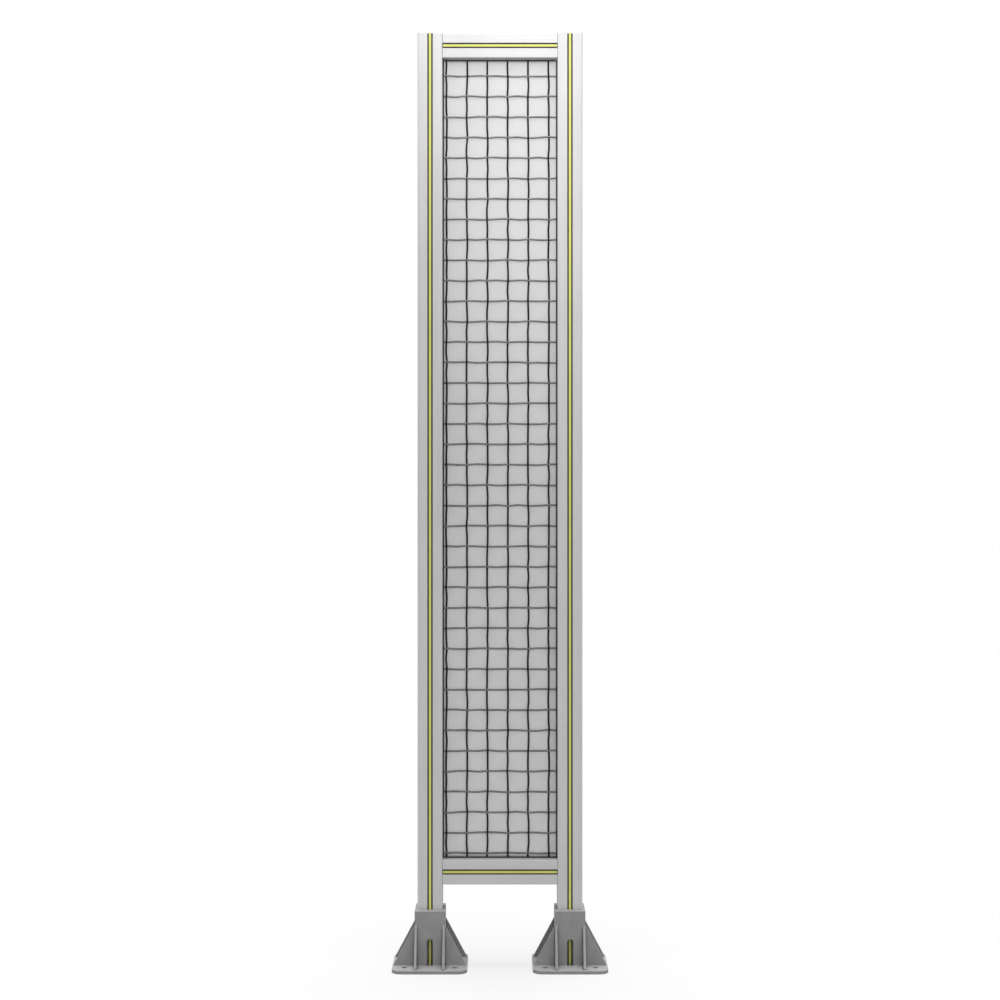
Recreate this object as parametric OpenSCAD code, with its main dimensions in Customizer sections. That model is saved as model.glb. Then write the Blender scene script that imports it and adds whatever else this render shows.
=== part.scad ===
// Machine guard fence panel: two T-slot aluminium posts in cast feet, two rails between them,
// and an infill of crimped wire mesh backed by a thin grey sheet, both held in the grooves.
// Millimetres, +Z up, front towards -Y. The origin is the centre of the left foot's underside.

/* [Frame] */
// Overall height, from the floor to the top of the posts
panel_h = 1500; // [700:10:2200]
// Length of each rail, which is the clear width between the posts
rail_l = 184.5; // [120:0.5:1200]
// Height of the bottom rail's underside above the floor
rail_clear = 134; // [110:1:300]

/* [Profile] */
// Side of the square aluminium profile
prof_w = 40; // [38:0.5:44]
// Radius of the profile's outer corners
prof_r = 1.5; // [0.5:0.5:3]
// Width of the groove at its mouth
groove_w = 8.2; // [8:0.1:9]
// Chamfer at each edge of the groove's mouth
mouth_c = 0.5; // [0.2:0.1:0.8]
// Thickness of the lips beside the mouth
lip_t = 4.5; // [3.5:0.1:5]
// Width of the groove behind the lips
groove_in_w = 20; // [19:0.5:21]
// Height of the groove's upright sides behind the lips
groove_side_h = 3.5; // [3:0.1:4]
// Depth of the groove from the outer face to its floor
groove_d = 12.25; // [12:0.05:12.8]
// Bore through the profile's core
core_bore_d = 6.8; // [5:0.1:7.5]
// Wall round the hollow chamber in each corner
chamber_wall = 2.2; // [1.8:0.1:2.6]
// Radius inside the corner chambers
chamber_r = 1; // [0.4:0.1:1.6]

/* [Cover strips] */
// Width of a strip's raised face
strip_face_w = 4.3; // [3:0.1:5.5]
// Depth of that face below the face of the profile
strip_recess = 0.4; // [0.2:0.1:1]
// Chamfer along both edges of the raised face
strip_c = 0.4; // [0.2:0.1:0.8]
// Depth of the shoulders beside the raised face
strip_shoulder = 2.4; // [1.6:0.1:2.8]
// Thickness of the shoulders
strip_t = 1.2; // [0.8:0.1:1.5]
// Thickness of a strip's two snap legs
strip_leg_t = 1.1; // [0.8:0.1:1.5]
// Reach of each barb behind the lips
strip_barb = 0.7; // [0.4:0.1:1.2]
// Height of each barb
strip_barb_h = 1.6; // [1:0.1:2.5]
// Clearance between a strip and the sides and lips of its groove
strip_fit = 0.15; // [0.05:0.05:0.3]
// Clearance between the end of a strip and the piece that it meets
strip_end_gap = 0.8; // [0.1:0.1:0.9]

/* [Infill] */
// Thickness of the wires
wire_d = 3; // [2:0.1:3.2]
// Spacing of the wires, centre to centre
wire_pitch = 33; // [20:1:60]
// Depth by which two wires are pressed into each other where they cross
wire_bite = 0.5; // [0.3:0.05:0.6]
// Length of the flat on top of each crimp
crimp_l = 6; // [4:0.5:10]
// Distance from the left post to the first upright wire
first_wire_x = 5.9; // [4:0.1:14]
// Distance from the bottom rail to the first level wire
first_wire_z = 7; // [4:0.5:14]
// Thickness of the sheet behind the mesh
sheet_t = 1.5; // [1:0.1:1.8]
// Depth by which the infill enters the grooves
infill_in = 8.5; // [6:0.1:9]
// Clearance between the mesh, the sheet and the gasket round them
infill_fit = 0.1; // [0.05:0.01:0.15]
// Thickness of the gasket's walls and base behind the lips of the groove
gasket_t = 1.4; // [1:0.1:1.6]
// Height of the gasket's outer bead above the face of the profile
bead_h = 2; // [1:0.1:3]
// Reach of the bead past the edge of the groove
bead_over = 1.2; // [0.5:0.1:3]
// Clearance between the gasket and the profile
gasket_fit = 0.05; // [0.02:0.01:0.1]
// Clearance at the gaskets' ends
gasket_end_gap = 0.3; // [0.1:0.1:0.9]

/* [Feet] */
// Side of the square base plate
plate_w = 120; // [112:1:160]
// Thickness of the base plate
plate_t = 6; // [5:0.5:10]
// Corner radius of the base plate
plate_r = 16; // [8:1:20]
// Radius of the base plate's upper edge
plate_edge_r = 1.5; // [0.5:0.1:2.5]
// Spacing of the floor bolt holes along both sides of the plate
bolt_pitch = 80; // [78:1:90]
// Diameter of the floor bolt holes
bolt_d = 9; // [7:0.5:12]
// Width of the socket across the panel's face
socket_w = 48.5; // [47:0.5:54]
// Depth of the socket from front to back
socket_d = 60; // [56:1:64]
// Height of the socket's walls above the base plate
socket_h = 88; // [80:1:100]
// Clearance between the post and the socket's walls
socket_fit = 0.15; // [0.05:0.05:0.3]
// Thickness of the ribs
rib_t = 3.8; // [3:0.1:5]
// Height of the ribs above the base plate
rib_h = 65; // [50:1:78]
// Distance from the foot of a rib to the edge of the base plate
rib_margin = 2; // [1.5:0.5:8]
// Height of a rib's blunt outer end above the base plate
rib_toe = 2; // [1:0.5:5]
// Width of the slot in each wall of the socket
slot_w = 9.8; // [9:0.1:10.5]
// Height of the slot's round top above the base plate
slot_h = 42.6; // [38:0.1:50]
// Radius of the fillets where the walls and ribs meet the base plate
cove_r = 2; // [1:0.25:3]
// Chamfer round the top of the socket
rim_c = 1; // [0.5:0.25:1.5]

/* [Fasteners] */
// Thread diameter of the foot screws
screw_d = 8; // [7:0.1:8]
// Diameter of the flange under a foot screw's head
flange_d = 17; // [14:0.5:20]
// Thickness of that flange
flange_t = 1.5; // [1:0.1:2]
// Diameter of a screw's button head
head_d = 14; // [12:0.5:15]
// Height of a screw's button head above its flange or its bearing face
head_h = 4.4; // [3:0.1:5]
// Height of the straight edge round a button head
head_edge_h = 0.9; // [0.4:0.1:2]
// Depth of the hexagon socket in a head
hex_depth = 2.2; // [1:0.1:2.8]
// Size of the hexagon socket in a head, across its corners
hex_d = 5.8; // [4:0.1:6.5]
// Height of the foot screws above the base plate
screw_z = 28; // [20:1:32]
// Width of a slot nut behind the lips
nut_w = 16; // [13:0.5:17]
// Height of a slot nut along the post
nut_l = 20; // [14:1:24]
// Thickness of a slot nut behind the lips
nut_t = 6; // [4:0.1:6.5]
// Bevel along a slot nut's inner edges
nut_bevel = 3; // [1:0.1:3.4]
// Height of a slot nut's neck between the lips
nut_neck_h = 1.5; // [0.5:0.1:3]
// Clearance of a slot nut, a screw's thread and its hole
nut_fit = 0.1; // [0.05:0.05:0.2]
// Length of the rail screws inside the rail
rail_screw_in = 24; // [12:1:40]

/* [Hidden] */
$fn = 48;
over = 1;                              // how far a cut or a buried end runs on

half = prof_w / 2;
post_x = rail_l + prof_w;              // centre of the right post
post_l = panel_h - plate_t;            // the posts stand on the base plates
rail_x0 = half;                        // left end of both rails
rail_x1 = rail_x0 + rail_l;
low_z = rail_clear + half;             // centre of the bottom rail
top_z = panel_h - half;                // centre of the top rail
open_z0 = rail_clear + prof_w;         // the opening between the rails
open_z1 = panel_h - prof_w;
socket_top = plate_t + socket_h;

// turns about Z that bring the front groove to each side of a post
FRONT = 0;
RIGHT = 90;
BACK = 180;
LEFT = 270;

alu = [0.86, 0.87, 0.88];
cast_alu = [0.5, 0.5, 0.51];
strip_yellow = [0.93, 0.9, 0.45];
steel = [0.6, 0.61, 0.62];
smoke = [0.55, 0.56, 0.58, 0.55];
black_rubber = [0.08, 0.08, 0.09];

function backwards(list) = [for (i = [len(list) - 1 : -1 : 0]) list[i]];

// ---- T-slot profile ----

module rounded_square(side, r) {
    union() {
        square([side - 2 * r, side], center = true);
        square([side, side - 2 * r], center = true);
        for (sx = [-1, 1], sy = [-1, 1])
            translate([sx * (side / 2 - r), sy * (side / 2 - r)]) circle(r = r);
    }
}

// one groove, at the profile's front side
module groove_section() {
    mouth = groove_w / 2;
    inner = groove_in_w / 2;
    side_end = lip_t + groove_side_h;
    floor_half = inner - (groove_d - side_end);
    translate([0, -half])
        polygon([
            [-mouth - mouth_c, -over], [-mouth - mouth_c, 0], [-mouth, mouth_c], [-mouth, lip_t],
            [-inner, lip_t], [-inner, side_end], [-floor_half, groove_d],
            [floor_half, groove_d], [inner, side_end], [inner, lip_t],
            [mouth, lip_t], [mouth, mouth_c], [mouth + mouth_c, 0], [mouth + mouth_c, -over]
        ]);
}

module profile_section() {
    chamber_side = half - groove_in_w / 2 - 2 * chamber_wall;
    chamber_at = half - chamber_wall - chamber_side / 2;
    difference() {
        rounded_square(prof_w, prof_r);
        circle(d = core_bore_d);
        for (turn = [FRONT, RIGHT, BACK, LEFT])
            rotate(turn) {
                groove_section();
                translate([chamber_at, chamber_at]) rounded_square(chamber_side, chamber_r);
            }
    }
}

module post(x) {
    color(alu) translate([x, 0, plate_t]) linear_extrude(post_l) profile_section();
}

// lays a section along the rails: its x becomes Y and its y becomes Z
module along_rail(z, inset = 0) {
    translate([rail_x0 + inset, 0, z])
        rotate([90, 0, 90]) linear_extrude(rail_l - 2 * inset) children();
}

module rail(z) {
    color(alu) along_rail(z) profile_section();
}

// ---- cover strips ----

// snap-in strip for the front groove: a raised face, two shoulders and two barbed legs
function strip_side(s) = [
    [s * (strip_face_w / 2 - strip_c), strip_recess],
    [s * strip_face_w / 2, strip_recess + strip_c],
    [s * strip_face_w / 2, strip_shoulder],
    [s * (groove_w / 2 - strip_fit), strip_shoulder],
    [s * (groove_w / 2 - strip_fit), lip_t + strip_fit],
    [s * (groove_w / 2 + strip_barb), lip_t + strip_fit],
    [s * (groove_w / 2 - strip_fit - strip_leg_t), lip_t + strip_fit + strip_barb_h],
    [s * (groove_w / 2 - strip_fit - strip_leg_t), strip_shoulder + strip_t]
];

module strip_section() {
    translate([0, -half]) polygon(concat(strip_side(1), backwards(strip_side(-1))));
}

module post_strip(x, turn, z0, z1) {
    color(strip_yellow)
        translate([x, 0, z0]) linear_extrude(z1 - z0) rotate(turn) strip_section();
}

// the rail's section stands upright, so its front groove is the profile's left one
module rail_strip(z, turn) {
    color(strip_yellow) along_rail(z, strip_end_gap) rotate(turn) strip_section();
}

// ---- infill ----

// at a crossing the two wires lie on either side of the mesh's middle plane
wire_lift = (wire_d - wire_bite) / 2;          // offset of a wire's axis at a crossing
mesh_t = wire_d + 2 * wire_lift;
infill_t = mesh_t + infill_fit + sheet_t;      // the infill sits midway in the grooves
mesh_y = (mesh_t - infill_t) / 2;              // middle plane of the mesh
sheet_y0 = infill_t / 2 - sheet_t;             // front of the sheet
open_h = open_z1 - open_z0;
columns = floor((rail_l - first_wire_x) / wire_pitch) + 1;
rows = floor((open_h - first_wire_z) / wire_pitch) + 1;

// outline of one crimped wire along x: flats at each crossing, alternately high and low
function crimp_line(start, end, first, count, lift, side) = concat(
    [[start, side - lift]],
    [for (i = [0 : count - 1], k = [-1, 1])
        [first + i * wire_pitch + k * crimp_l / 2, side + (i % 2 == 0 ? lift : -lift)]],
    [[end, side + (count % 2 == 0 ? lift : -lift)]]
);

// a negative lift puts the first crossing on the other side
module crimped_wire(start, end, first, count, lift) {
    near_side = crimp_line(start, end, first, count, lift, -wire_d / 2);
    far_side = crimp_line(start, end, first, count, lift, wire_d / 2);
    translate([0, 0, -wire_d / 2])
        linear_extrude(wire_d) polygon(concat(near_side, backwards(far_side)));
}

module upright_wire(column) {
    translate([rail_x0 + first_wire_x + column * wire_pitch, mesh_y, open_z0])
        rotate([0, -90, 0])
            crimped_wire(-infill_in, open_h + infill_in, first_wire_z, rows,
                         column % 2 == 0 ? wire_lift : -wire_lift);
}

module level_wire(row) {
    translate([rail_x0, mesh_y, open_z0 + first_wire_z + row * wire_pitch])
        crimped_wire(-infill_in, rail_l + infill_in, first_wire_x, columns,
                     row % 2 == 0 ? -wire_lift : wire_lift);
}

module wire_mesh() {
    color(steel) union() {
        for (column = [0 : columns - 1]) upright_wire(column);
        for (row = [0 : rows - 1]) level_wire(row);
    }
}

module infill_sheet() {
    color(smoke)
        translate([rail_x0 - infill_in, sheet_y0, open_z0 - infill_in])
            cube([rail_l + 2 * infill_in, sheet_t, open_h + 2 * infill_in]);
}

// gasket in the front groove: a U behind the lips, a thin neck and a bead outside
function gasket_side(s) = [
    [s * (infill_t / 2 + infill_fit), infill_in + infill_fit],
    [s * (infill_t / 2 + infill_fit), -bead_h],
    [s * groove_w / 2, -bead_h],
    [s * (groove_w / 2 + bead_over), -bead_h / 2],
    [s * (groove_w / 2 + bead_over), -gasket_fit],
    [s * (groove_w / 2 - gasket_fit), -gasket_fit],
    [s * (groove_w / 2 - gasket_fit), lip_t + gasket_fit],
    [s * (infill_t / 2 + infill_fit + gasket_t), lip_t + gasket_fit],
    [s * (infill_t / 2 + infill_fit + gasket_t), infill_in + infill_fit + gasket_t]
];

module gasket_section() {
    translate([0, -half]) polygon(concat(gasket_side(1), backwards(gasket_side(-1))));
}

module post_gasket(x, turn) {
    color(black_rubber) translate([x, 0, open_z0 + gasket_end_gap])
        linear_extrude(open_h - 2 * gasket_end_gap) rotate(turn) gasket_section();
}

// the rails' gaskets fit between the beads of the posts' gaskets
module rail_gasket(z, turn) {
    color(black_rubber) along_rail(z, bead_h + gasket_end_gap) rotate(turn) gasket_section();
}

// ---- cast foot ----

// edge of the base plate, seen along that edge, from the corner's centre outwards
module plate_edge_section() {
    difference() {
        square([plate_r, plate_t]);
        translate([plate_r - plate_edge_r, plate_t - plate_edge_r])
            difference() {
                square(plate_edge_r + over);
                circle(r = plate_edge_r);
            }
    }
}

module base_plate() {
    core = plate_w - 2 * plate_r;
    difference() {
        union() {
            translate([-core / 2, -core / 2, 0]) cube([core, core, plate_t]);
            for (turn = [0 : 90 : 270])
                rotate(turn) {
                    translate([core / 2, core / 2, 0])
                        rotate_extrude(angle = 90) plate_edge_section();
                    translate([core / 2, core / 2, 0])
                        rotate([90, 0, 0]) linear_extrude(core) plate_edge_section();
                }
        }
        for (sx = [-1, 1], sy = [-1, 1])
            translate([sx * bolt_pitch / 2, sy * bolt_pitch / 2, -over])
                cylinder(d = bolt_d, h = plate_t + 2 * over);
    }
}

// fillet along +X in the corner between the base plate and a wall at y = 0 on its +Y side
module cove(length) {
    rotate([90, 0, 90]) linear_extrude(length)
        difference() {
            square(cove_r);
            translate([cove_r, cove_r]) circle(r = cove_r);
        }
}

// triangle from a wall, at x = from, down to the edge of the plate, from y = 0 to y = rib_t
module rib(from) {
    reach = plate_w / 2 - rib_margin;
    translate([0, rib_t, 0]) rotate([90, 0, 0])
        linear_extrude(rib_t)
            polygon([
                [from - over, plate_t - over], [reach, plate_t - over],
                [reach, plate_t + rib_toe], [from, plate_t + rib_h], [from - over, plate_t + rib_h]
            ]);
    translate([from, rib_t, plate_t]) cove(reach - from);
    translate([from, 0, plate_t]) mirror([0, 1, 0]) cove(reach - from);
}

// one side of the socket: two ribs flush with the walls beside it, and the wall's own fillet
module ribbed_side(from, flush) {
    translate([0, -flush, 0]) rib(from);
    translate([0, flush - rib_t, 0]) rib(from);
    translate([from, flush - rib_t, plate_t])
        rotate(-90) cove(2 * (flush - rib_t));
}

// block with a chamfer round its top
module socket_block() {
    top = socket_top - rim_c;
    intersection() {
        translate([0, socket_d / 2, 0]) rotate([90, 0, 0]) linear_extrude(socket_d)
            polygon([
                [-socket_w / 2, plate_t - over], [socket_w / 2, plate_t - over],
                [socket_w / 2, top], [socket_w / 2 - rim_c, socket_top],
                [rim_c - socket_w / 2, socket_top], [-socket_w / 2, top]
            ]);
        translate([-socket_w / 2, 0, 0]) rotate([90, 0, 90]) linear_extrude(socket_w)
            polygon([
                [-socket_d / 2, plate_t - over], [socket_d / 2, plate_t - over],
                [socket_d / 2, top], [socket_d / 2 - rim_c, socket_top],
                [rim_c - socket_d / 2, socket_top], [-socket_d / 2, top]
            ]);
    }
}

module wall_slot(depth) {
    straight = slot_h - slot_w / 2;
    translate([-depth, -slot_w / 2, plate_t]) cube([2 * depth, slot_w, straight]);
    translate([-depth, 0, plate_t + straight])
        rotate([0, 90, 0]) cylinder(d = slot_w, h = 2 * depth);
}

module foot(x) {
    bore = prof_w + 2 * socket_fit;
    color(cast_alu) translate([x, 0, 0]) {
        base_plate();
        difference() {
            union() {
                socket_block();
                for (turn = [0, 180]) rotate(turn) ribbed_side(socket_w / 2, socket_d / 2);
                for (turn = [90, 270]) rotate(turn) ribbed_side(socket_d / 2, socket_w / 2);
            }
            translate([-bore / 2, -bore / 2, plate_t]) cube([bore, bore, socket_h + over]);
            wall_slot(socket_w);
            rotate(90) wall_slot(socket_d);
        }
    }
}

// ---- fasteners ----

// button head standing on x = 0 towards +X, with a hexagon socket
module button_head() {
    crown_h = head_h - head_edge_h;
    crown_r = (head_d * head_d / 4 + crown_h * crown_h) / (2 * crown_h);
    rotate([0, 90, 0]) difference() {
        intersection() {
            cylinder(d = head_d, h = head_h);
            translate([0, 0, head_h - crown_r]) sphere(r = crown_r);
        }
        translate([0, 0, head_h - hex_depth]) cylinder(d = hex_d, h = hex_depth + over, $fn = 6);
    }
}

// screw through the socket's wall into the slot nut, towards +X or, when turned, -X
module foot_screw(x, turn) {
    tip = half - lip_t - nut_t;
    color(steel) translate([x, 0, plate_t + screw_z]) rotate(turn) {
        translate([socket_w / 2 + flange_t, 0, 0]) button_head();
        translate([socket_w / 2, 0, 0]) rotate([0, 90, 0]) cylinder(d = flange_d, h = flange_t);
        translate([tip, 0, 0])
            rotate([0, 90, 0]) cylinder(d = screw_d, h = socket_w / 2 + flange_t - tip);
    }
}

module foot_nut(x, turn) {
    seat = half - lip_t - nut_fit;
    neck = groove_w / 2 - nut_fit;
    color(steel) translate([x, 0, plate_t + screw_z]) rotate(turn)
        difference() {
            translate([0, 0, -nut_l / 2]) linear_extrude(nut_l)
                polygon([
                    [seat - nut_t, -nut_w / 2 + nut_bevel], [seat - nut_bevel, -nut_w / 2],
                    [seat, -nut_w / 2], [seat, -neck], [seat + nut_neck_h, -neck],
                    [seat + nut_neck_h, neck], [seat, neck],
                    [seat, nut_w / 2], [seat - nut_bevel, nut_w / 2],
                    [seat - nut_t, nut_w / 2 - nut_bevel]
                ]);
            translate([seat - nut_t - over, 0, 0]) rotate([0, 90, 0])
                cylinder(d = screw_d + 2 * nut_fit, h = nut_t + nut_neck_h + 2 * over);
        }
}

// screw from the post's inner groove into the core bore of a rail; side is 1 at the left end
module rail_screw(x, z, side) {
    bearing = half - lip_t - nut_fit;
    color(steel) translate([x, 0, z]) mirror([side < 0 ? 1 : 0, 0, 0]) {
        translate([bearing, 0, 0]) mirror([1, 0, 0]) button_head();
        translate([bearing, 0, 0]) rotate([0, 90, 0])
            cylinder(d = core_bore_d - 2 * nut_fit, h = half - bearing + rail_screw_in);
    }
}

// ---- assembly ----

post(0);  // left_post
post(post_x);  // right_post
rail(top_z);  // top_rail
rail(low_z);  // bottom_rail

post_strip(0, FRONT, plate_t, panel_h);  // left_post_front_strip
post_strip(post_x, FRONT, plate_t, panel_h);  // right_post_front_strip
post_strip(0, BACK, plate_t, panel_h);  // left_post_back_strip
post_strip(post_x, BACK, plate_t, panel_h);  // right_post_back_strip
post_strip(0, LEFT, socket_top + strip_end_gap, panel_h);  // left_post_outer_strip
post_strip(post_x, RIGHT, socket_top + strip_end_gap, panel_h);  // right_post_outer_strip
post_strip(0, RIGHT, socket_top + strip_end_gap, rail_clear - strip_end_gap);  // left_post_lower_strip
post_strip(post_x, LEFT, socket_top + strip_end_gap, rail_clear - strip_end_gap);  // right_post_lower_strip
rail_strip(top_z, LEFT);  // top_rail_front_strip
rail_strip(top_z, RIGHT);  // top_rail_back_strip
rail_strip(top_z, BACK);  // top_rail_upper_strip
rail_strip(low_z, LEFT);  // bottom_rail_front_strip
rail_strip(low_z, RIGHT);  // bottom_rail_back_strip
rail_strip(low_z, FRONT);  // bottom_rail_under_strip

wire_mesh();
infill_sheet();
post_gasket(0, RIGHT);  // left_gasket
post_gasket(post_x, LEFT);  // right_gasket
rail_gasket(top_z, FRONT);  // top_gasket
rail_gasket(low_z, BACK);  // bottom_gasket

foot(0);  // left_foot
foot(post_x);  // right_foot
foot_screw(0, 180);  // left_foot_outer_screw
foot_screw(0, 0);  // left_foot_inner_screw
foot_screw(post_x, 0);  // right_foot_outer_screw
foot_screw(post_x, 180);  // right_foot_inner_screw
foot_nut(0, 180);  // left_foot_outer_nut
foot_nut(0, 0);  // left_foot_inner_nut
foot_nut(post_x, 0);  // right_foot_outer_nut
foot_nut(post_x, 180);  // right_foot_inner_nut

rail_screw(0, top_z, 1);  // top_rail_left_screw
rail_screw(post_x, top_z, -1);  // top_rail_right_screw
rail_screw(0, low_z, 1);  // bottom_rail_left_screw
rail_screw(post_x, low_z, -1);  // bottom_rail_right_screw
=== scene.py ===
"""Looks of the machine guard fence panel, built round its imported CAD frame.

Lengths are in metres, with +Z up and the front towards -Y. Greys and colours are linear.
"""

import math
import random

import bpy
import numpy as np
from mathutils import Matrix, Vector


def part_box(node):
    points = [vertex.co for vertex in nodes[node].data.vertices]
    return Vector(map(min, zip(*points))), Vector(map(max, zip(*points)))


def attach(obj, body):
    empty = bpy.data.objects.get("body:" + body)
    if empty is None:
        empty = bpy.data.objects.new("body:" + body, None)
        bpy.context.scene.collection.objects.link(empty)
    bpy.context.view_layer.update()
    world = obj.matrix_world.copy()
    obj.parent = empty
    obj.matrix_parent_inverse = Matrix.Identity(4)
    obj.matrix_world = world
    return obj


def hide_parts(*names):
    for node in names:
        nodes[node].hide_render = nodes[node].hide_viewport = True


MM = 0.001

# ---- the photograph's viewpoint: level, square on, and midway between the posts ----

CAMERA_FIELD = math.radians(30)
CAMERA_DISTANCE = 2.993  # from the posts' front faces
CAMERA_HEIGHT = 0.7509
CLIP_NEAR, CLIP_FAR = 0.05, 100

# ---- the mesh ----

# as the CAD node wire_mesh has it
WIRE_PITCH = 33 * MM
WIRE_RADIUS = 1.5 * MM
WIRE_BITE = 0.5 * MM  # how far two wires are pressed into each other
FIRST_UPRIGHT = 5.9 * MM  # from the left post's inner face
FIRST_LEVEL = 7 * MM  # from the bottom rail's upper face

# what the round wires have beyond that
WIRE_SIDES = 10
RINGS_PER_PITCH = 12
CRIMP_FLATNESS = 1.6  # 0 is a plain wave; more keeps a wire longer on one side of the mesh
STRAY = 0.75 * MM  # how far a wire strays sideways
STRAY_SEED = 7
STRAYS_PER_PITCH = 2  # at each crossing and midway between two

# ---- materials ----

NOISE_LOW, NOISE_HIGH = 0.3, 0.7  # nearly all of a noise lies between these
BEVEL_SAMPLES = 6
OCCLUSION_SAMPLES = 8

PROFILE_GREYS = (0.437, 0.487)
PROFILE_METAL = 0.55
STREAK_SHARE = 0.55  # of the grey's variation; the rest is in soft clouds
PROFILE_ROUGH = (0.45, 0.55)
DIE_STRETCH = 0.012  # scale of the die lines' pattern along the extrusion
SAWN_GREYS = (0.45, 0.55)
SAW_STRETCH = (0.8, 0.03, 0.8)  # scale of the saw marks, which run from front to back
END_NORMAL = 0.9  # a face is an end where its normal has more than this along the extrusion

YELLOWS = ((0.53, 0.53, 0.117, 1), (0.57, 0.57, 0.13, 1))
YELLOW_WIDTH = 3.66 * MM  # the painted black shade on the shoulders wraps the corners of the strip's 4.3 mm face

CASTING_GREYS = (0.205, 0.245)
CASTING_PAINTED_GLINT = 0.30  # grey of the painted glints on the grain's high spots
CASTING_CORNER_SHADE = 0.05  # grey of the painted shade in the corners
# painted shade: how far from a corner or recess occlusion darkens the casting
CORNER_SHADE_REACH = 5 * MM

WIRE_METAL = 0.85
# one steel in lit and shaded copies: the uprights painted darker as shaded, the level wires
# painted lighter as lit from above
UPRIGHT_WIRE_SHADED_GREYS = (0.01, 0.02)
LEVEL_WIRE_LIT_GREYS = (0.13, 0.17)

SHEET_GREY = 0.6
SHEET_ALPHA = 0.65

# ---- light ----

AMBIENT = 0.95  # strength of the world's light on the object

# the key lamp, which makes the panel brighter towards its top
KEY_POWER = 150  # W
KEY_SHADOWED = 0.2  # share of its light that casts shadows
KEY_SIDE = -0.3  # its place from the panel's middle
KEY_DISTANCE = 1.41  # from the posts' front faces
KEY_HEIGHT = 2.71
KEY_RADIUS = 0.12
KEY_CONE = math.radians(34)
KEY_AIM_SIDE = 0.085  # it points this far to the right of the right post
KEY_AIM_UP = 0.016  # and this far over the post's top

# a white surface facing one of these suns would show this much
TOP_LEVEL = 1.7
FILL_LEVEL = 0.12
FILL_DIRECTION = (0.25, -0.9, 0.36)
SUN_SPREAD = math.radians(30)

FLOOR_RADIUS = 30
FLOOR_SIDES = 96
FLOOR_BOUNCE = 0.24  # the floor's grey in the light that it gives back to the object
FLOOR_SHADE = 0.12  # share of the floor's white that the object's shadow can darken
FLOOR_WHITE = 1.02  # what the floor shows out of the shadow; a little over 1 hides noise


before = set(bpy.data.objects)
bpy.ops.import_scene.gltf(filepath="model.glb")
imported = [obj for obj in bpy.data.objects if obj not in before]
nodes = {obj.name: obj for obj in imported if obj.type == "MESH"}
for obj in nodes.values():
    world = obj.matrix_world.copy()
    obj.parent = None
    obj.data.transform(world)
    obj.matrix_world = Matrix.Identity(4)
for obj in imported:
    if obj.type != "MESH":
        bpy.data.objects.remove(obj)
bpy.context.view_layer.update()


# ---- places, from the frame ----

left_low, left_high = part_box("left_post")
right_low, right_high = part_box("right_post")
rail_low, rail_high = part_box("bottom_rail")
top_low, top_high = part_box("top_rail")
mesh_low, mesh_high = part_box("wire_mesh")
centre_x = (left_low.x + right_high.x) / 2
front_y = left_low.y


# ---- node helpers ----


def grey(level):
    return (level, level, level, 1)


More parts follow.
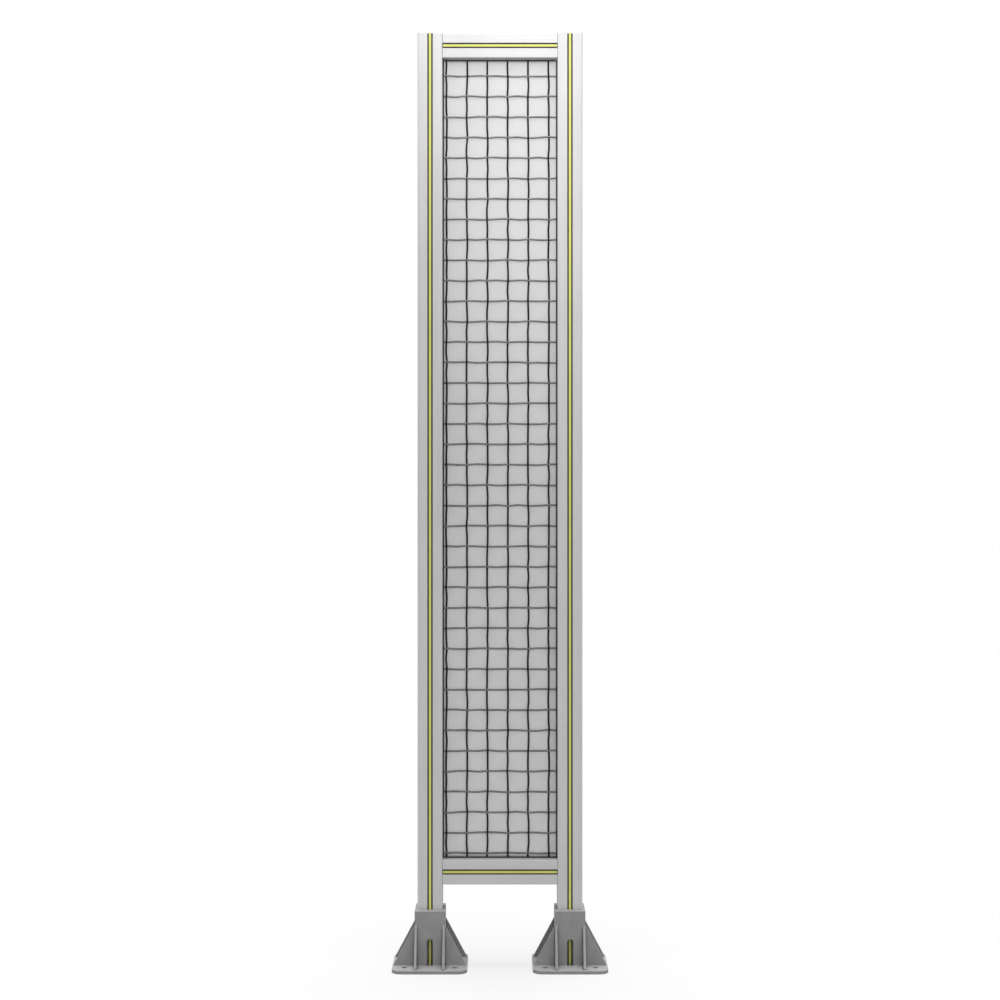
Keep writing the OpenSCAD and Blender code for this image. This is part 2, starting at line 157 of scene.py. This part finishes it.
class Shader:
    """A small builder for one material's nodes."""

    def __init__(self, name):
        self.material = bpy.data.materials.new(name)
        self.material.use_nodes = True
        self.tree = self.material.node_tree
        self.tree.nodes.clear()
        self.output = self.tree.nodes.new("ShaderNodeOutputMaterial")

    def node(self, kind, **values):
        made = self.tree.nodes.new(kind)
        for key, value in values.items():
            setattr(made, key, value)
        return made

    def link(self, source, target):
        self.tree.links.new(source, target)

    def feed(self, socket, value):
        """Links another node's output, or sets a plain value on the socket itself."""
        if isinstance(value, bpy.types.NodeSocket):
            self.link(value, socket)
        else:
            socket.default_value = value

    def math(self, operation, first, second=0.0):
        made = self.node("ShaderNodeMath", operation=operation)
        self.feed(made.inputs[0], first)
        self.feed(made.inputs[1], second)
        return made.outputs[0]

    def position(self, scale=(1, 1, 1)):
        """Object coordinates, which are the frame's metres, times scale."""
        coordinates = self.node("ShaderNodeTexCoord")
        mapping = self.node("ShaderNodeMapping")
        mapping.inputs["Scale"].default_value = scale
        self.link(coordinates.outputs["Object"], mapping.inputs["Vector"])
        return mapping.outputs["Vector"]

    def axes(self, vector):
        parts = self.node("ShaderNodeSeparateXYZ")
        self.link(vector, parts.inputs[0])
        return parts.outputs

    def normal(self):
        return self.node("ShaderNodeNewGeometry").outputs["Normal"]

    def noise(self, vector, scale, detail, roughness):
        made = self.node("ShaderNodeTexNoise")
        self.link(vector, made.inputs["Vector"])
        made.inputs["Scale"].default_value = scale
        made.inputs["Detail"].default_value = detail
        made.inputs["Roughness"].default_value = roughness
        return made.outputs["Fac"]

    def vary(self, value, first, second, low=NOISE_LOW, high=NOISE_HIGH):
        """A number that goes from first to second as value goes from low to high."""
        made = self.node("ShaderNodeMapRange", clamp=True)
        self.feed(made.inputs["Value"], value)
        made.inputs["From Min"].default_value = low
        made.inputs["From Max"].default_value = high
        made.inputs["To Min"].default_value = first
        made.inputs["To Max"].default_value = second
        return made.outputs["Result"]

    def mix(self, factor, first, second):
        made = self.node("ShaderNodeMix", data_type="RGBA")
        self.feed(made.inputs["Factor"], factor)
        self.feed(made.inputs["A"], first)
        self.feed(made.inputs["B"], second)
        return made.outputs["Result"]

    def vary_grey(self, value, greys, low=NOISE_LOW, high=NOISE_HIGH):
        """A grey that goes from the first of greys to the second as value goes up."""
        return self.mix(self.vary(value, 0, 1, low, high), grey(greys[0]), grey(greys[1]))

    def bump(self, height, strength, distance, under=None):
        made = self.node("ShaderNodeBump")
        self.feed(made.inputs["Height"], height)
        made.inputs["Strength"].default_value = strength
        made.inputs["Distance"].default_value = distance
        if under is not None:
            self.link(under, made.inputs["Normal"])
        return made.outputs["Normal"]

    def rounded(self, radius):
        """Softens sharp edges in the shading."""
        made = self.node("ShaderNodeBevel", samples=BEVEL_SAMPLES)
        made.inputs["Radius"].default_value = radius
        return made.outputs["Normal"]

    def open_to_light(self, reach):
        """1 on open faces, less in corners and recesses."""
        made = self.node("ShaderNodeAmbientOcclusion", samples=OCCLUSION_SAMPLES, only_local=True)
        made.inputs["Distance"].default_value = reach
        return made.outputs["AO"]

    def surface(self, **values):
        """The material's Principled shader; a socket's name is written with _ for each space."""
        made = self.node("ShaderNodeBsdfPrincipled")
        for key, value in values.items():
            self.feed(made.inputs[key.replace("_", " ")], value)
        self.link(made.outputs[0], self.output.inputs["Surface"])


# ---- materials ----


def anodised_aluminium(name, along):
    """Satin anodised profile: fine die lines along the extrusion and a sawn end."""
    shader = Shader(name)
    stretch = [1.0, 1.0, 1.0]
    stretch["xyz".index(along)] = DIE_STRETCH
    lines = shader.noise(shader.position(stretch), scale=2400, detail=2, roughness=0.6)
    streaks = shader.noise(shader.position(stretch), scale=420, detail=3, roughness=0.5)
    cloud = shader.noise(shader.position(), scale=9, detail=3, roughness=0.5)
    shade = shader.math(
        "ADD",
        shader.math("MULTIPLY", streaks, STREAK_SHARE),
        shader.math("MULTIPLY", cloud, 1 - STREAK_SHARE),
    )
    drawn = shader.vary_grey(shade, PROFILE_GREYS, low=0.35, high=0.65)

    saw_marks = shader.noise(shader.position(SAW_STRETCH), scale=1300, detail=2, roughness=0.6)
    sawn = shader.vary_grey(saw_marks, SAWN_GREYS, low=0.35, high=0.65)
    facing_along = shader.axes(shader.normal())["XYZ".index(along.upper())]
    is_end = shader.math("GREATER_THAN", shader.math("ABSOLUTE", facing_along), END_NORMAL)

    shader.surface(
        Base_Color=shader.mix(is_end, drawn, sawn),
        Metallic=PROFILE_METAL,
        Roughness=shader.vary(lines, *PROFILE_ROUGH),
        Normal=shader.bump(
            lines, strength=0.12, distance=0.2 * MM, under=shader.rounded(0.4 * MM)
        ),
    )
    return shader.material


def strip_plastic(name, axis, centres):
    """Yellow strip whose shoulders are painted black as the shade beside its face; axis runs
    across it, through the centres.
    """
    shader = Shader(name)
    across = shader.axes(shader.position())["xyz".index(axis)]
    offsets = [shader.math("ABSOLUTE", shader.math("SUBTRACT", across, c)) for c in centres]
    nearest = offsets[0]
    for other in offsets[1:]:
        nearest = shader.math("MINIMUM", nearest, other)
    # painted shade: black outside the yellow band, on the shoulders and on the face's outer edges
    shoulder_shade = shader.math("GREATER_THAN", nearest, YELLOW_WIDTH / 2)
    cloud = shader.noise(shader.position(), scale=30, detail=3, roughness=0.5)
    yellow = shader.mix(shader.vary(cloud, 0, 1), *YELLOWS)
    grain = shader.noise(shader.position(), scale=1800, detail=2, roughness=0.5)
    shader.surface(
        Base_Color=shader.mix(shoulder_shade, yellow, grey(0.012)),
        Roughness=0.42,
        Normal=shader.bump(
            grain, strength=0.08, distance=0.1 * MM, under=shader.rounded(0.3 * MM)
        ),
    )
    return shader.material


def cast_metal(name):
    """Blasted casting: mottled, with a fine grain, lighter specks painted as glints on the
    grain's high spots, and painted shade in its corners.
    """
    shader = Shader(name)
    grain = shader.noise(shader.position(), scale=1500, detail=4, roughness=0.65)
    cloud = shader.noise(shader.position(), scale=38, detail=4, roughness=0.6)
    tone = shader.vary_grey(cloud, CASTING_GREYS)
    # painted glints: lighter specks on the grain's high spots
    painted_glint = shader.vary(grain, 0, 0.35, low=0.55, high=0.8)
    tone = shader.mix(painted_glint, tone, grey(CASTING_PAINTED_GLINT))
    # painted shade: darkens the casting's corners and recesses, as far as occlusion reaches
    corner_shade = shader.vary(shader.open_to_light(CORNER_SHADE_REACH), 0.75, 0, low=0.45, high=0.85)
    shader.surface(
        Base_Color=shader.mix(corner_shade, tone, grey(CASTING_CORNER_SHADE)),
        Roughness=shader.vary(grain, 0.5, 0.68),
        Normal=shader.bump(
            grain, strength=0.35, distance=0.25 * MM, under=shader.rounded(0.8 * MM)
        ),
    )
    return shader.material


def wire_steel(name, greys):
    shader = Shader(name)
    cloud = shader.noise(shader.position(), scale=160, detail=3, roughness=0.6)
    grain = shader.noise(shader.position(), scale=2600, detail=2, roughness=0.5)
    shader.surface(
        Base_Color=shader.vary_grey(cloud, greys),
        Metallic=WIRE_METAL,
        Roughness=0.45,
        Normal=shader.bump(grain, strength=0.12, distance=0.1 * MM),
    )
    return shader.material


def smoke_sheet(name):
    """Translucent grey sheet."""
    shader = Shader(name)
    cloud = shader.noise(shader.position(), scale=3, detail=2, roughness=0.5)
    shader.surface(
        Base_Color=grey(SHEET_GREY),
        Roughness=shader.vary(cloud, 0.3, 0.36),
        Alpha=SHEET_ALPHA,
        IOR=1.5,
    )
    return shader.material


def black_rubber(name):
    shader = Shader(name)
    grain = shader.noise(shader.position(), scale=1200, detail=3, roughness=0.5)
    shader.surface(
        Base_Color=grey(0.014),
        Roughness=shader.vary(grain, 0.62, 0.8),
        Normal=shader.bump(grain, strength=0.15, distance=0.1 * MM),
    )
    return shader.material


def zinc(name):
    shader = Shader(name)
    cloud = shader.noise(shader.position(), scale=300, detail=3, roughness=0.6)
    shader.surface(
        Base_Color=shader.vary_grey(cloud, (0.42, 0.52)),
        Metallic=1.0,
        Roughness=shader.vary(cloud, 0.28, 0.4),
        Normal=shader.rounded(0.3 * MM),
    )
    return shader.material


# ---- pieces ----


def dress(name, material):
    nodes[name].data.materials.clear()
    nodes[name].data.materials.append(material)


def wire_stray(rng, crossings):
    """Sideways offsets along one wire, with a few to spare at its ends."""
    return [rng.uniform(-1, 1) * STRAY for _ in range(STRAYS_PER_PITCH * crossings + 3)]


def smooth(values, at):
    """Cubic through evenly spaced values."""
    index = max(1, min(len(values) - 3, int(math.floor(at))))
    t = at - index
    a, b, c, d = values[index - 1 : index + 3]
    return b + 0.5 * t * (c - a + t * (2 * a - 5 * b + 4 * c - d + t * (3 * (b - c) + d - a)))


def crimped_line(start, end, first, lift, stray):
    """Points along one wire: (distance, sideways, depth). first is its first crossing."""
    steps = int(round((end - start) / WIRE_PITCH * RINGS_PER_PITCH))
    points = []
    for k in range(steps + 1):
        s = start + (end - start) * k / steps
        phase = (s - first) / WIRE_PITCH
        wave = math.cos(math.pi * phase)
        crimp = math.tanh(CRIMP_FLATNESS * wave) / math.tanh(CRIMP_FLATNESS)
        side = smooth(stray, 1 + max(0, STRAYS_PER_PITCH * (phase + 0.5)))
        points.append((s, side, lift * crimp))
    return points


def tube(points):
    """Vertices and faces of a round wire along the points, closed at both ends."""
    path = np.array(points)
    tangent = np.gradient(path, axis=0)
    tangent /= np.linalg.norm(tangent, axis=1)[:, None]
    depth = np.array([0.0, 1.0, 0.0])
    across = np.cross(tangent, depth)
    across /= np.linalg.norm(across, axis=1)[:, None]
    normal = np.cross(across, tangent)
    turn = np.linspace(0, 2 * np.pi, WIRE_SIDES, endpoint=False)
    rings = (
        path[:, None, :]
        + WIRE_RADIUS * np.cos(turn)[None, :, None] * across[:, None, :]
        + WIRE_RADIUS * np.sin(turn)[None, :, None] * normal[:, None, :]
    )
    count = len(path)
    faces = []
    for i in range(count - 1):
        this, after = i * WIRE_SIDES, (i + 1) * WIRE_SIDES
        for k in range(WIRE_SIDES):
            n = (k + 1) % WIRE_SIDES
            faces.append((this + k, this + n, after + n, after + k))
    faces.append(tuple(reversed(range(WIRE_SIDES))))
    faces.append(tuple((count - 1) * WIRE_SIDES + k for k in range(WIRE_SIDES)))
    return rings.reshape(-1, 3), faces


class Tubes:
    """Gathers tubes into one mesh object."""

    def __init__(self, name):
        self.name = name
        self.vertices = []
        self.faces = []

    def add(self, points):
        made, faces = tube(points)
        start = len(self.vertices)
        self.vertices.extend(made.tolist())
        self.faces.extend(tuple(start + i for i in face) for face in faces)

    def build(self):
        data = bpy.data.meshes.new(self.name)
        data.from_pydata(self.vertices, [], self.faces)
        data.polygons.foreach_set("use_smooth", [True] * len(data.polygons))
        data.update()
        piece = bpy.data.objects.new(self.name, data)
        bpy.context.scene.collection.objects.link(piece)
        return piece


def build_wires():
    """Round crimped wires in place of the CAD's square ones, woven over and under."""
    rng = random.Random(STRAY_SEED)
    first_x = left_high.x + FIRST_UPRIGHT
    first_z = rail_high.z + FIRST_LEVEL
    columns = int((right_low.x - first_x) / WIRE_PITCH) + 1
    rows = int((top_low.z - first_z) / WIRE_PITCH) + 1
    middle = (mesh_low.y + mesh_high.y) / 2
    wire_lift = WIRE_RADIUS - WIRE_BITE / 2
    uprights = Tubes("upright_wires")
    levels = Tubes("level_wires")
    for column in range(columns):
        x = first_x + column * WIRE_PITCH
        lift = wire_lift * (-1) ** column
        line = crimped_line(mesh_low.z, mesh_high.z, first_z, lift, wire_stray(rng, rows))
        uprights.add([(x + side, middle + depth, s) for s, side, depth in line])
    for row in range(rows):
        z = first_z + row * WIRE_PITCH
        lift = -wire_lift * (-1) ** row
        line = crimped_line(mesh_low.x, mesh_high.x, first_x, lift, wire_stray(rng, columns))
        levels.add([(s, middle + depth, z + side) for s, side, depth in line])
    return uprights.build(), levels.build()


# ---- stage ----


def build_camera():
    data = bpy.data.cameras.new("camera")
    data.sensor_fit = "HORIZONTAL"
    data.angle = CAMERA_FIELD
    data.clip_start = CLIP_NEAR
    data.clip_end = CLIP_FAR
    camera = bpy.data.objects.new("camera", data)
    camera.location = (centre_x, front_y - CAMERA_DISTANCE, CAMERA_HEIGHT)
    camera.rotation_euler = (math.pi / 2, 0, 0)
    bpy.context.scene.collection.objects.link(camera)
    bpy.context.scene.camera = camera


def show_apart(tree, output, lighting, shown):
    """Lights the object with one shader, and shows the other as the background.

    The background is what rays meet from the camera, in a reflection or through the sheet.
    """
    path = tree.nodes.new("ShaderNodeLightPath")
    is_seen = path.outputs["Is Camera Ray"]
    for kind in ("Is Glossy Ray", "Is Transmission Ray"):
        either = tree.nodes.new("ShaderNodeMath")
        either.operation = "MAXIMUM"
        tree.links.new(is_seen, either.inputs[0])
        tree.links.new(path.outputs[kind], either.inputs[1])
        is_seen = either.outputs[0]
    mix = tree.nodes.new("ShaderNodeMixShader")
    tree.links.new(is_seen, mix.inputs["Fac"])
    tree.links.new(lighting.outputs[0], mix.inputs[1])
    tree.links.new(shown.outputs[0], mix.inputs[2])
    tree.links.new(mix.outputs[0], output.inputs["Surface"])


def build_world():
    world = bpy.data.worlds.new("studio")
    bpy.context.scene.world = world
    world.use_nodes = True
    tree = world.node_tree
    tree.nodes.clear()
    output = tree.nodes.new("ShaderNodeOutputWorld")
    lighting = tree.nodes.new("ShaderNodeBackground")
    lighting.inputs["Strength"].default_value = AMBIENT
    shown = tree.nodes.new("ShaderNodeBackground")
    shown.inputs["Color"].default_value = grey(1)
    show_apart(tree, output, lighting, shown)


def build_floor():
    """A wide pale disc that keeps the object's shadow."""
    bpy.ops.mesh.primitive_circle_add(
        vertices=FLOOR_SIDES, radius=FLOOR_RADIUS, fill_type="NGON", location=(centre_x, 0, 0)
    )
    floor = bpy.context.object
    floor.name = "floor"
    material = bpy.data.materials.new("floor")
    material.use_nodes = True
    tree = material.node_tree
    tree.nodes.clear()
    output = tree.nodes.new("ShaderNodeOutputMaterial")
    bounce = tree.nodes.new("ShaderNodeBsdfDiffuse")
    bounce.inputs["Color"].default_value = grey(FLOOR_BOUNCE)
    shadowed = tree.nodes.new("ShaderNodeBsdfDiffuse")
    shadowed.inputs["Color"].default_value = grey(FLOOR_SHADE)
    glow = tree.nodes.new("ShaderNodeEmission")
    glow.inputs["Strength"].default_value = FLOOR_WHITE - FLOOR_SHADE * (AMBIENT + TOP_LEVEL)
    shown = tree.nodes.new("ShaderNodeAddShader")
    tree.links.new(shadowed.outputs[0], shown.inputs[0])
    tree.links.new(glow.outputs[0], shown.inputs[1])
    show_apart(tree, output, bounce, shown)
    floor.data.materials.append(material)


def aim(lamp, location, target):
    lamp.location = location
    toward = Vector(target) - Vector(location)
    lamp.rotation_euler = toward.to_track_quat("-Z", "Y").to_euler()
    bpy.context.scene.collection.objects.link(lamp)


def sun(name, level, direction, mirrored):
    """A distant lamp; mirrored says whether shiny faces reflect it."""
    data = bpy.data.lights.new(name, "SUN")
    data.energy = level * math.pi
    data.angle = SUN_SPREAD
    lamp = bpy.data.objects.new(name, data)
    lamp.visible_glossy = mirrored
    aim(lamp, direction, (0, 0, 0))


def key_lamp(name, share, shadow):
    """The share of the key light that casts shadows, or the share that doesn't."""
    data = bpy.data.lights.new(name, "SPOT")
    data.energy = KEY_POWER * share
    data.shadow_soft_size = KEY_RADIUS
    data.spot_size = KEY_CONE
    data.spot_blend = 1
    data.use_shadow = shadow
    place = (centre_x + KEY_SIDE, front_y - KEY_DISTANCE, KEY_HEIGHT)
    target = (right_high.x + KEY_AIM_SIDE, front_y, right_high.z + KEY_AIM_UP)
    aim(bpy.data.objects.new(name, data), place, target)


def build_lamps():
    key_lamp("key", KEY_SHADOWED, True)
    key_lamp("key_open", 1 - KEY_SHADOWED, False)
    sun("top", TOP_LEVEL, (0, 0, 1), False)
    sun("fill", FILL_LEVEL, FILL_DIRECTION, True)


# ---- the panel ----

build_camera()
build_world()
build_floor()
build_lamps()

upright_alu = anodised_aluminium("anodised_upright", "z")
level_alu = anodised_aluminium("anodised_level", "x")
for name in ("left_post", "right_post"):
    dress(name, upright_alu)
for name in ("top_rail", "bottom_rail"):
    dress(name, level_alu)

post_centres = [(left_low.x + left_high.x) / 2, (right_low.x + right_high.x) / 2]
rail_centres = [(rail_low.z + rail_high.z) / 2, (top_low.z + top_high.z) / 2]
strip_x = strip_plastic("strip_across_x", "x", post_centres)
strip_y = strip_plastic("strip_across_y", "y", [0.0])
strip_z = strip_plastic("strip_across_z", "z", rail_centres)
castings = cast_metal("cast_aluminium")
rubber = black_rubber("gasket_rubber")
fastener = zinc("zinc_plated")
dress("infill_sheet", smoke_sheet("smoke_sheet"))
for name in nodes:
    if name.endswith(("_post_front_strip", "_post_back_strip")):
        dress(name, strip_x)
    elif name.endswith(("_rail_front_strip", "_rail_back_strip")):
        dress(name, strip_z)
    elif name.endswith("_strip"):
        dress(name, strip_y)
    elif name.endswith("_gasket"):
        dress(name, rubber)
    elif name.endswith("_foot"):
        dress(name, castings)
    elif name.endswith(("_screw", "_nut")):
        dress(name, fastener)

uprights, levels = build_wires()
# painted light and shade: the same wire steel, darker on the uprights and lighter on the level
# wires
uprights.data.materials.append(wire_steel("upright_wire", UPRIGHT_WIRE_SHADED_GREYS))
levels.data.materials.append(wire_steel("level_wire", LEVEL_WIRE_LIT_GREYS))
for piece in (uprights, levels):
    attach(piece, "root")
    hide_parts("wire_mesh")

bpy.context.scene.view_settings.view_transform = "Standard"
